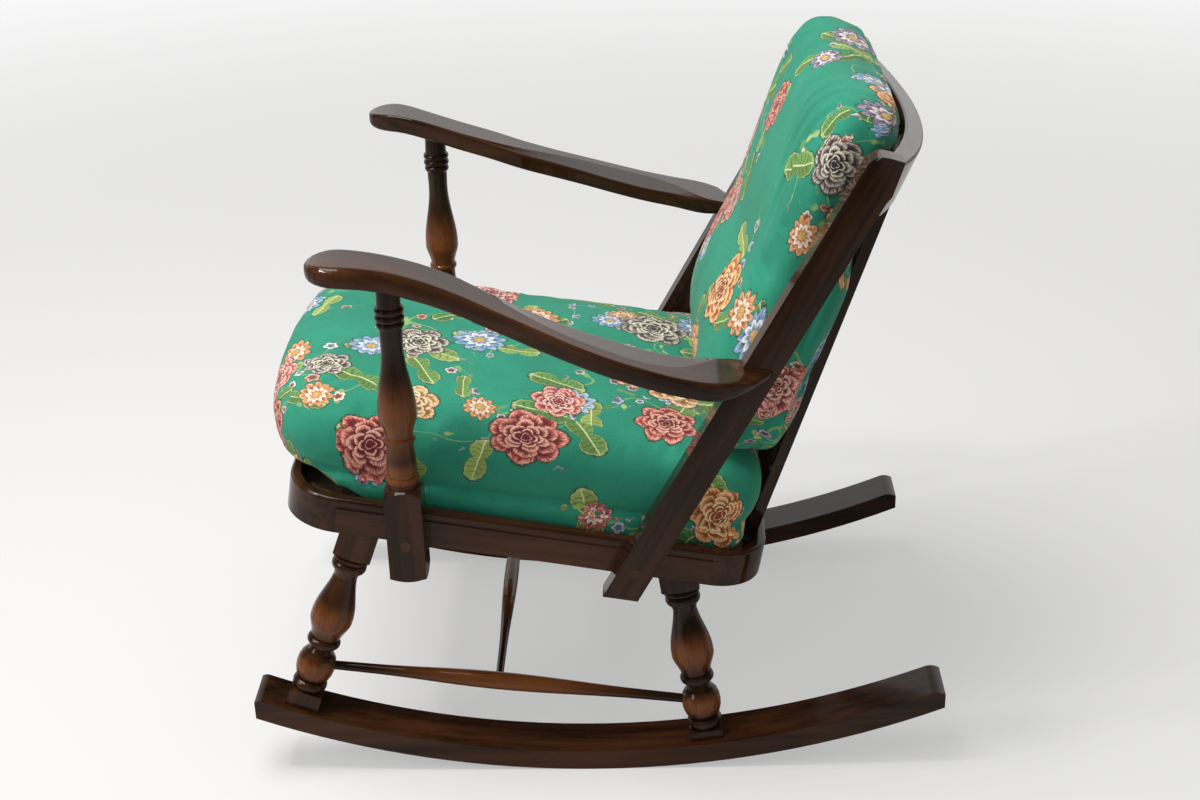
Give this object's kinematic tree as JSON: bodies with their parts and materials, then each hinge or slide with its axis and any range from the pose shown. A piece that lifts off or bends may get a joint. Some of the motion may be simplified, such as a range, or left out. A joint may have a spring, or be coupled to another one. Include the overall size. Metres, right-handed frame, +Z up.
{
  "type": "rocking chair",
  "caption": "Wooden rocking chair with turned legs and posts, shaped arms, raked back and loose floral seat and back cushions.",
  "frame": {"origin": "on the floor, midway between the tips of the rockers and between the two sides", "axes": "+Z up, -Y the way the sitter faces, +X the sitter's left"},
  "size_m": [0.639, 0.803, 0.79],
  "materials": {
    "walnut": "satin",
    "raw_wood": "matte",
    "jute": "matte",
    "steel": "satin",
    "floral_fabric": "matte"
  },
  "bodies": {
    "root": {"rocker_left": "walnut", "rocker_right": "walnut", "front_leg_left": "walnut", "front_leg_right": "walnut", "rear_leg_left": "walnut", "rear_leg_right": "walnut", "side_stretcher_left": "walnut", "side_stretcher_right": "walnut", "cross_stretcher": "walnut", "front_rail": "walnut", "rear_rail": "walnut", "side_rail_left": "walnut", "side_rail_right": "walnut", "corner_blocks": "raw_wood", "arm_post_left": "walnut", "arm_post_right": "walnut", "arm_left": "walnut", "arm_right": "walnut", "back_stile_left": "walnut", "back_stile_right": "walnut", "crest_rail": "walnut", "back_slat_1": "walnut", "back_slat_2": "walnut", "back_slat_3": "walnut", "back_slat_4": "walnut", "back_slat_5": "walnut", "webbing_long": "jute", "webbing_cross": "jute", "wood_screws": "steel", "screw_plugs": "walnut", "seat_cushion": "floral_fabric", "back_cushion": "floral_fabric"}
  },
  "joints": []
}
